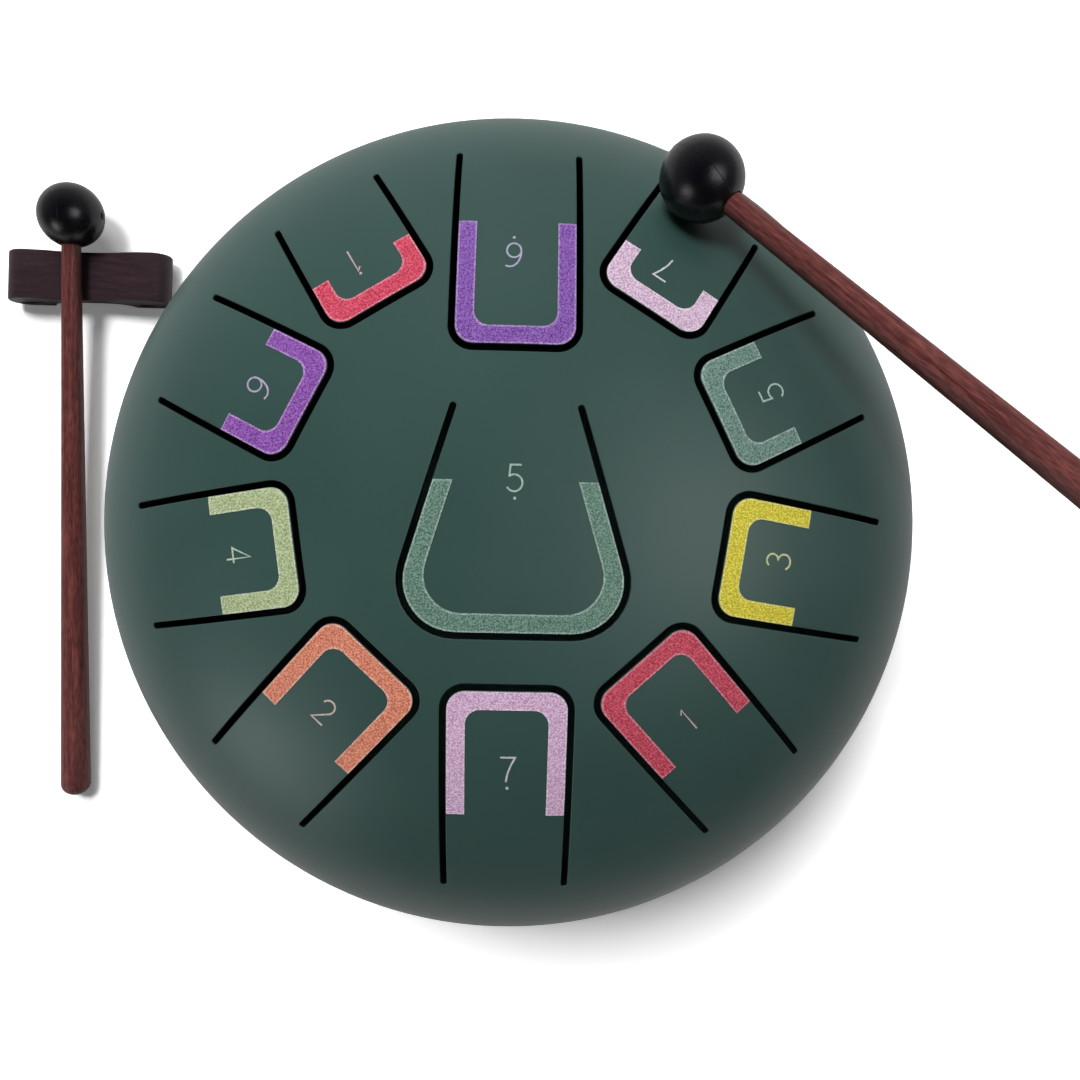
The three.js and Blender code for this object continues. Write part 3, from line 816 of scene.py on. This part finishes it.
def ring_tree():
    tree = bpy.data.node_groups.new("ring of parts", "GeometryNodeTree")
    add_sockets(
        tree, "INPUT", ("Geometry", "Geometry"), ("Count", "Int"), ("Ring Radius", "Float"),
        ("Middle", "Vector"), ("Turn", "Vector"), ("Material", "Material"),
    )
    add_sockets(tree, "OUTPUT", ("Geometry", "Geometry"))
    given, circle, move, copies, real, finish, result = [tree.nodes.new(kind) for kind in (
        "NodeGroupInput", "GeometryNodeMeshCircle", "GeometryNodeTransform",
        "GeometryNodeInstanceOnPoints", "GeometryNodeRealizeInstances",
        "GeometryNodeSetMaterial", "NodeGroupOutput",
    )]
    wires = (
        (given, "Count", circle, "Vertices"), (given, "Ring Radius", circle, "Radius"),
        (circle, "Mesh", move, "Geometry"), (given, "Middle", move, "Translation"),
        (given, "Turn", move, "Rotation"), (move, "Geometry", copies, "Points"),
        (given, "Geometry", copies, "Instance"), (copies, "Instances", real, "Geometry"),
        (real, "Geometry", finish, "Geometry"), (given, "Material", finish, "Material"),
        (finish, "Geometry", result, "Geometry"),
    )
    for source, output, target, socket in wires:
        tree.links.new(source.outputs[output], target.inputs[socket])
    return tree


ring_of_parts = ring_tree()


def set_out(name, places, polygons, material):
    """Copies one part round the base and returns the plain mesh of them all."""
    source = smooth_piece(name + "_source", places * MM, polygons, [material], sharp=SHARP_EDGE)
    modifier = source.modifiers.new("ring", "NODES")
    modifier.node_group = ring_of_parts
    values = {
        "Count": FOOT_COUNT, "Ring Radius": FOOT_RING, "Middle": (AXIS_X, 0.0, 0.0),
        "Turn": (0.0, 0.0, math.pi / 2), "Material": material,
    }
    for item in ring_of_parts.interface.items_tree:
        if item.name in values:
            modifier[item.identifier] = values[item.name]
    evaluated = source.evaluated_get(bpy.context.evaluated_depsgraph_get())
    data = bpy.data.meshes.new_from_object(evaluated)
    data.name = name
    bpy.data.objects.remove(source)
    return linked(name, data)


def rubber_material(name, dark, light, roughness):
    return grainy_material(
        name, gloss=(roughness, 0.5), grain=(120.0, 4.0, 1.8), colours=(dark, light),
        bump=(0.00006, 0.4), fine=(1400.0, 3.0, 1.5), spread=(roughness - 0.05, roughness + 0.1),
    )


foot_rubber = rubber_material("foot rubber", linear(18, 18, 20), linear(34, 34, 36), 0.6)
zinc = grainy_material(
    "zinc plated steel", gloss=(0.35, 0.5, 1.0), grain=(500.0, 3.0, 1.6),
    colours=(linear(150, 152, 154), linear(196, 197, 196)), spread=(0.28, 0.45),
)
RECESS, BORE, SEAT = 4.2, 2.3, 4.4
foot_profile = [
    (RECESS, 0.6), (RECESS + 0.4, 0.15), (RECESS + 0.9, 0.0), (FOOT_RADIUS - 1.2, 0.0),
    (FOOT_RADIUS - 0.4, 0.25), (FOOT_RADIUS, 0.9), (FOOT_RADIUS - 0.15, 2.0), (8.25, BASE_HEIGHT - 0.8),
    (7.9, BASE_HEIGHT - 0.2), (7.4, BASE_HEIGHT), (BORE, BASE_HEIGHT), (BORE, SEAT), (RECESS, SEAT),
]
feet = set_out("rubber_feet", *spun(foot_profile, 64), foot_rubber)
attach(feet, "drum")
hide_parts("foot_1", "foot_2", "foot_3")

screw_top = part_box("foot_screw_1")[1][2] / MM
screw_profile = [
    (0.01, 3.4), (1.5, 3.4), (1.5, 2.1), (1.75, 2.0), (3.1, 2.05), (3.7, 2.6), (3.9, 3.4), (3.9, SEAT),
    (2.0, SEAT), (2.0, screw_top - 0.4), (1.6, screw_top), (0.01, screw_top),
]
screws = set_out("foot_screws", *spun(screw_profile, 48, flats=(0, 1, 2)), zinc)
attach(screws, "drum")
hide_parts("foot_screw_1", "foot_screw_2", "foot_screw_3")

nut_low, nut_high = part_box("foot_nut_1")[0][2] / MM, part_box("foot_nut_1")[1][2] / MM
nut_profile = [
    (2.3, nut_low + 0.3), (2.6, nut_low), (3.6, nut_low), (4.05, nut_low + 0.35), (4.05, nut_high - 0.35),
    (3.6, nut_high), (2.6, nut_high), (2.3, nut_high - 0.3),
]
nuts = set_out("foot_nuts", *spun(nut_profile, 48, flats=(3, 4)), zinc)
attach(nuts, "drum")
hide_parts("foot_nut_1", "foot_nut_2", "foot_nut_3")

# The mallet rest: a short block of dark lacquered wood, cut as a wave with a saddle in the
# middle and a curled foot at each end, and standing on the table by itself.
rest_low, rest_high = (np.array(corner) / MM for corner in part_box("mallet_rest"))
REST_LENGTH, REST_DEPTH, REST_HEIGHT = rest_high - rest_low
REST_SADDLE = 9.8
REST_BAND = 4.0
REST_ROUNDING = 6.5
REST_FOOT = 15.0
REST_EYE = (4.8, 1.5)
REST_EYE_PLACE = (8.2, 3.4)
REST_BEVEL = 0.7


def bezier(start, first, second, stop, steps=24):
    shares = [k / steps for k in range(1, steps + 1)]
    return [
        tuple(a * (1 - t) ** 3 + 3 * b * t * (1 - t) ** 2 + 3 * c * t * t * (1 - t) + d * t ** 3
              for a, b, c, d in zip(start, first, second, stop))
        for t in shares
    ]


def rest_outline():
    end = REST_LENGTH / 2
    hump, arch, archway = end - REST_ROUNDING, end - REST_FOOT, REST_SADDLE - REST_BAND
    half = REST_HEIGHT / 2
    line = arc(-hump, half, REST_ROUNDING, half, 270, 90, 32)
    high, low_middle = REST_HEIGHT, (0, REST_SADDLE)
    line += bezier((-hump, high), (-hump / 2, high), (-hump / 2, REST_SADDLE), low_middle)
    line += bezier(low_middle, (hump / 2, REST_SADDLE), (hump / 2, high), (hump, high))
    line += arc(hump, half, REST_ROUNDING, half, 90, -90, 32)[1:] + [(arch, 0.0)]
    line += bezier((arch, 0), (arch - REST_BAND / 2, archway), (arch / 2, archway), (0, archway))
    line += bezier((0, archway), (-arch / 2, archway), (-arch + REST_BAND / 2, archway), (-arch, 0))
    return line


def outline_curve(name, lines, half_depth, bevel):
    curve = bpy.data.curves.new(name, "CURVE")
    curve.dimensions, curve.fill_mode = "2D", "BOTH"
    for line in lines:
        spline = curve.splines.new("POLY")
        spline.points.add(len(line) - 1)
        for point, (x, y) in zip(spline.points, line):
            point.co = (x * MM, y * MM, 0, 1)
        spline.use_cyclic_u = True
    curve.extrude, curve.bevel_depth = (half_depth - bevel) * MM, bevel * MM
    curve.offset, curve.bevel_resolution = -bevel * MM, 3
    return curve


STREAK_RANGE = (0.32, 0.68)
FLECK_RANGE = (0.36, 0.62)


def wood_material(name, dark, light, roughness, streak_scale, fleck_scale, fleck_shade):
    """Broad streaks and short flecks that run along the piece's own first UV direction."""
    material, tree, shader = new_material(name, roughness, 0.45)
    nodes, links = tree.nodes, tree.links
    place = nodes.new("ShaderNodeUVMap")
    place.uv_map = "grain"
    noises = []
    for scale in (streak_scale, fleck_scale):
        stretch, noise = nodes.new("ShaderNodeMapping"), nodes.new("ShaderNodeTexNoise")
        stretch.inputs["Scale"].default_value = (scale[0], scale[1], 1.0)
        noise.inputs["Scale"].default_value, noise.inputs["Detail"].default_value = 1.0, 3.0
        links.new(place.outputs["UV"], stretch.inputs["Vector"])
        links.new(stretch.outputs["Vector"], noise.inputs["Vector"])
        noises.append(noise.outputs["Fac"])
    tone = nodes.new("ShaderNodeValToRGB")
    for stop, position, colour in zip(tone.color_ramp.elements, STREAK_RANGE, (dark, light)):
        stop.position, stop.color = position, colour
    links.new(noises[0], tone.inputs["Fac"])
    shade = nodes.new("ShaderNodeMix")
    shade.data_type, shade.blend_type = "RGBA", "MULTIPLY"
    shade.inputs["Factor"].default_value = 1.0
    links.new(tone.outputs["Color"], shade.inputs[COLOUR_A])
    links.new(ranged(tree, noises[1], FLECK_RANGE, fleck_shade), shade.inputs[COLOUR_B])
    links.new(shade.outputs[COLOUR_RESULT], shader.inputs["Base Color"])
    add_bump(tree, shader, noises[1], 0.0001, 0.4)
    vary_roughness(tree, shader, noises[0], roughness - 0.06, roughness + 0.1)
    return material


rest_wood = wood_material(
    "dark stained wood", linear(46, 32, 37), linear(58, 42, 47), 0.48, (50, 700), (300, 1500), (0.8, 1.05)
)


def rest_piece():
    eye_x = REST_LENGTH / 2 - REST_EYE_PLACE[0]
    eyes = [arc(side * eye_x, REST_EYE_PLACE[1], *REST_EYE, 0, 360, 40)[:-1] for side in (-1, 1)]
    curve = outline_curve("rest_outline", [rest_outline()] + eyes, REST_DEPTH / 2, REST_BEVEL)
    source = linked("rest_outline", curve)
    evaluated = source.evaluated_get(bpy.context.evaluated_depsgraph_get())
    data = bpy.data.meshes.new_from_object(evaluated)
    bpy.data.objects.remove(source)
    middle = (rest_low + rest_high) / 2 * MM
    standing = Matrix.Translation((middle[0], middle[1], rest_low[2] * MM))
    data.transform(standing @ Matrix.Rotation(math.pi / 2, 4, "X"))
    data.name = "wave_rest"
    data.materials.clear()
    data.materials.append(rest_wood)
    data.shade_smooth()
    data.set_sharp_from_angle(angle=math.radians(SHARP_EDGE))
    grain = data.uv_layers.new(name="grain")
    for loop in data.loops:
        place = data.vertices[loop.vertex_index].co
        grain.data[loop.index].uv = (place.x, place.y + place.z)
    return linked("wave_rest", data)


rest = rest_piece()
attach(rest, "rest")
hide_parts("mallet_rest")

# The mallets: tapered hardwood dowels, stained red-brown and thickest at the rounded butt,
# pushed into moulded rubber balls. One leans in the rest and one is about to strike.
MALLET_LENGTH = 230.0
HEAD_RADIUS = 11.75
TIP_RADIUS = 3.3
BUTT_RADIUS = 5.27
BUTT_ROUNDING = 4.5
GRIP_DEPTH = 15.0
BUTT_SHORT = 0.12
NUB_RADIUS = 2.1
NUB_PROUD = 0.6
NUB_SUNK = 1.2
PARTING_RIDGE = 0.12
AXIS_GAP = 0.02
BORE_SLACK = 0.06
MOUTH_LIP = 0.25
RIDGE_SUNK = 0.04
SHAFT_SIDES, SHAFT_RINGS, BUTT_RINGS = 64, 61, 11
BALL_SIDES, BALL_RINGS = 96, 49
NUB_SIDES, NUB_RINGS = 40, 9
RIDGE_SIDES, RIDGE_STEPS = 8, 120
Z_TO_MINUS_X = np.array([[0.0, 0.0, 1.0], [0.0, 1.0, 0.0], [-1.0, 0.0, 0.0]])
shaft_end = MALLET_LENGTH - HEAD_RADIUS


def mallet_frame(node):
    """The mallet's own axes, with the head's centre as origin and +Z towards the butt."""
    points = np.array([tuple(v.co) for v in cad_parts[node].data.vertices])
    centre = points.mean(axis=0)
    along = np.linalg.svd(points - centre, full_matrices=False)[2][0]
    reach = (points - centre) @ along
    girth = np.linalg.norm(points - centre - reach[:, None] * along, axis=1)
    if girth[reach < reach.mean()].max() > girth[reach > reach.mean()].max():
        along, reach = -along, -reach
    head = centre + along * (reach.max() - shaft_end * MM)
    across = np.cross(along, (0, 0, 1))
    across /= np.linalg.norm(across)
    upward = np.cross(along, across)
    return Matrix(np.column_stack([across, upward, along, head]).tolist() + [[0, 0, 0, 1]])


def shaft_radius(along):
    return TIP_RADIUS + (BUTT_RADIUS - TIP_RADIUS) * along / shaft_end


def shaft_profile():
    """The dowel from its end inside the ball to the butt, kept just inside the solid's box."""
    start, straight = HEAD_RADIUS - GRIP_DEPTH, shaft_end - BUTT_SHORT - BUTT_ROUNDING
    line = [(AXIS_GAP, start)]
    for along in np.linspace(start, straight, SHAFT_RINGS):
        line.append((shaft_radius(along), along))
    for turn in np.linspace(0, math.pi / 2, BUTT_RINGS)[1:]:
        radius = max(shaft_radius(straight) * math.cos(turn), AXIS_GAP)
        line.append((radius, straight + BUTT_ROUNDING * math.sin(turn)))
    return line


def head_profile():
    """The ball, with the blind bore that holds the shaft and a small lip at its mouth."""
    bore = shaft_radius(HEAD_RADIUS) + BORE_SLACK
    mouth = math.pi - math.asin((bore + MOUTH_LIP) / HEAD_RADIUS)
    line = []
    for turn in np.linspace(0, mouth, BALL_RINGS):
        line.append((max(HEAD_RADIUS * math.sin(turn), AXIS_GAP), -HEAD_RADIUS * math.cos(turn)))
    top, floor_of_bore = line[-1][1], HEAD_RADIUS - GRIP_DEPTH - BORE_SLACK
    return line + [(bore, top - MOUTH_LIP), (bore, floor_of_bore), (AXIS_GAP, floor_of_bore)]


def parting_line():
    """The mould's fine ridge round the ball, a thin torus about the local X axis."""
    turns = [2 * math.pi * k / RIDGE_SIDES for k in range(RIDGE_SIDES)]
    major = HEAD_RADIUS - RIDGE_SUNK
    profile = [(major + PARTING_RIDGE * math.cos(t), PARTING_RIDGE * math.sin(t)) for t in turns]
    places, polygons = spun(profile, RIDGE_STEPS)
    return places @ Z_TO_MINUS_X, polygons


def moulding_nub():
    """The stub of the moulding gate: a low rounded pip on the ball's side, along local -X."""
    root, crest = HEAD_RADIUS - NUB_SUNK, HEAD_RADIUS + NUB_PROUD
    profile = [(AXIS_GAP, root)]
    for turn in np.linspace(0, math.pi / 2, NUB_RINGS):
        radius = max(NUB_RADIUS * math.cos(turn), AXIS_GAP)
        profile.append((radius, root + (crest - root) * math.sin(turn)))
    places, polygons = spun(profile, NUB_SIDES)
    return places @ Z_TO_MINUS_X, polygons


def joined(parts):
    places, polygons, first = [], [], 0
    for part_places, part_polygons in parts:
        places.append(part_places)
        polygons += [tuple(c + first for c in face) for face in part_polygons]
        first += len(part_places)
    return np.vstack(places), polygons


def mallet_piece(name, place, parts, material):
    places, polygons = joined(parts)
    piece = smooth_piece(name, places * MM, polygons, [material])
    grain = piece.data.uv_layers.new(name="grain")
    for polygon in piece.data.polygons:
        corners = [piece.data.vertices[v].co for v in polygon.vertices]
        turns = [math.atan2(corner.y, corner.x) for corner in corners]
        wraps = max(turns) - min(turns) > math.pi
        for loop, corner, turn in zip(polygon.loop_indices, corners, turns):
            around = turn + 2 * math.pi if wraps and turn < 0 else turn
            grain.data[loop].uv = (corner.z, around * BUTT_RADIUS * MM)
    piece.data.transform(place)
    return piece


head_rubber = rubber_material("black ball rubber", linear(5, 4, 9), linear(12, 10, 17), 0.27)
shaft_wood = wood_material(
    "red-brown hardwood", linear(80, 38, 36), linear(116, 62, 58), 0.5, (45, 700), (260, 1500), (0.55, 1.25)
)
for side in ("left", "right"):
    place = mallet_frame(side + "_mallet_shaft")
    shaft_parts = [spun(shaft_profile(), SHAFT_SIDES)]
    shaft = mallet_piece(side + "_shaft", place, shaft_parts, shaft_wood)
    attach(shaft, side + "_mallet")
    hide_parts(side + "_mallet_shaft")
    ball_parts = [spun(head_profile(), BALL_SIDES), parting_line(), moulding_nub()]
    ball = mallet_piece(side + "_ball", place, ball_parts, head_rubber)
    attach(ball, side + "_mallet")
    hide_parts(side + "_mallet_head")

# The studio: a white table top under soft light from the back left, with a window to the
# right and one low on the left. The camera looks down from 39 cm, as in the photograph, and
# the table is clear from below, so that the drum's base can be seen.
CAMERA_HEIGHT = 0.3909
CAMERA_PLACE = (AXIS_X + 0.0017, -0.0081, CAMERA_HEIGHT)
CAMERA_TILT = (0.007987, -0.022820, 0.021695)
CAMERA_LENS = 33.33
FLOOR_HALF = 3.0
FLOOR_HEIGHT = -0.0001
FLOOR_TONE = 0.7
FLOOR_TONE_TO_CAMERA = 1.3
# The floor's glow for the camera is painted light, and its fade near the drum leaves painted shade under
# the drum.
FLOOR_PAINTED_GLOW_TO_CAMERA = 0.15
PAINTED_GLOW_FADE = (0.11, 0.15)
SKY_BRIGHT_SIDE = (-0.1, 0.97, 0.2)
SKY_DIM, SKY_BRIGHT = 0.05, 0.45
OVERHEAD_DIMMING = 0.12
SKY_DIM_UP_TO = -0.3
LAMP_DISTANCE = 1.2


def camera_ray(tree):
    return tree.nodes.new("ShaderNodeLightPath").outputs["Is Camera Ray"]


# The sky is brightest low at the back and dim overhead, and the camera sees it as plain white.
world = bpy.data.worlds.new("studio")
bpy.context.scene.world = world
world.use_nodes = True
sky_tree = world.node_tree
nodes, links = sky_tree.nodes, sky_tree.links
background = nodes["Background"]
background.inputs["Color"].default_value = (1.0, 1.0, 1.0, 1.0)
direction, towards = nodes.new("ShaderNodeTexCoord"), nodes.new("ShaderNodeVectorMath")
towards.operation = "DOT_PRODUCT"
towards.inputs[1].default_value = Vector(SKY_BRIGHT_SIDE).normalized()
links.new(direction.outputs["Generated"], towards.inputs[0])
side = ranged(sky_tree, towards.outputs["Value"], (SKY_DIM_UP_TO, 1.0), (SKY_DIM, SKY_BRIGHT))
parts = nodes.new("ShaderNodeSeparateXYZ")
links.new(direction.outputs["Generated"], parts.inputs["Vector"])
height = ranged(sky_tree, parts.outputs["Z"], after=(1.0, OVERHEAD_DIMMING))
shown = nodes.new("ShaderNodeMix")
shown.inputs["B"].default_value = 1.0
links.new(camera_ray(sky_tree), shown.inputs["Factor"])
links.new(combined(sky_tree, "MULTIPLY", side, height), shown.inputs["A"])
links.new(shown.outputs["Result"], background.inputs["Strength"])

floor_data = bpy.data.meshes.new("table_top")
floor_sides = ((-1, -1), (1, -1), (1, 1), (-1, 1))
floor_corners = [(x * FLOOR_HALF, y * FLOOR_HALF, FLOOR_HEIGHT) for x, y in floor_sides]
floor_data.from_pydata(floor_corners, [], [(0, 1, 2, 3)])
floor = linked("table_top", floor_data)
floor_material, floor_tree, floor_shader = new_material("white table", 0.8, 0.1)
tone = floor_tree.nodes.new("ShaderNodeMix")
tone.inputs["A"].default_value, tone.inputs["B"].default_value = FLOOR_TONE, FLOOR_TONE_TO_CAMERA
floor_tree.links.new(camera_ray(floor_tree), tone.inputs["Factor"])
floor_tree.links.new(tone.outputs["Result"], floor_shader.inputs["Base Color"])

# The floor's glow for the camera is painted light that lifts the shadow beside the drum. It fades out near
# the drum, so the floor there is left darker, as painted shade under the drum.
spot, apart = floor_tree.nodes.new("ShaderNodeTexCoord"), floor_tree.nodes.new("ShaderNodeVectorMath")
apart.operation, apart.inputs[1].default_value = "DISTANCE", (AXIS_X, 0.0, FLOOR_HEIGHT)
floor_tree.links.new(spot.outputs["Object"], apart.inputs[0])
fade = ranged(floor_tree, apart.outputs["Value"], PAINTED_GLOW_FADE, (0.0, FLOOR_PAINTED_GLOW_TO_CAMERA))
glow = combined(floor_tree, "MULTIPLY", camera_ray(floor_tree), fade)
floor_tree.links.new(glow, floor_shader.inputs["Emission Strength"])

# From below the table is clear.
backfacing = floor_tree.nodes.new("ShaderNodeNewGeometry").outputs["Backfacing"]
facing_up = combined(floor_tree, "SUBTRACT", 1.0, backfacing)
floor_tree.links.new(facing_up, floor_shader.inputs["Alpha"])
floor_data.materials.append(floor_material)


# The high sun makes the shadow, the low one behind it fills that in and leaves the near side
# of the dome darker, and the windows only show as reflections.
def add_lamp(name, kind, direction, size, power):
    data = bpy.data.lights.new(name, kind)
    data.energy = power
    if kind == "SUN":
        data.angle = size
    else:
        data.shape, data.size = "SQUARE", size
    lamp = linked(name, data)
    lamp.location = Vector(direction).normalized() * LAMP_DISTANCE
    lamp.rotation_euler = (-lamp.location).to_track_quat("-Z", "Y").to_euler()
    lamp.visible_glossy = kind != "SUN"
    lamp.visible_diffuse = kind == "SUN"


add_lamp("sun", "SUN", (-0.28, 0.39, 0.88), 0.36, 2.6)
add_lamp("back_sun", "SUN", (-0.1, 0.76, 0.64), 0.5, 1.0)
add_lamp("right_window", "AREA", (0.51, 0.0, 0.86), 0.6, 3.0)
add_lamp("left_window", "AREA", (-0.68, -0.61, 0.41), 0.45, 2.0)

camera_data = bpy.data.cameras.new("camera")
camera_data.sensor_width, camera_data.lens = 36.0, CAMERA_LENS
camera_data.clip_start = 0.01
camera = linked("camera", camera_data)
turn_x, turn_y, turn_z = CAMERA_TILT
camera.matrix_world = (
    Matrix.Translation(CAMERA_PLACE) @ Matrix.Rotation(turn_y, 4, "Y")
    @ Matrix.Rotation(turn_x, 4, "X") @ Matrix.Rotation(turn_z, 4, "Z")
)
bpy.context.scene.camera = camera
bpy.context.scene.view_settings.view_transform = "Standard"
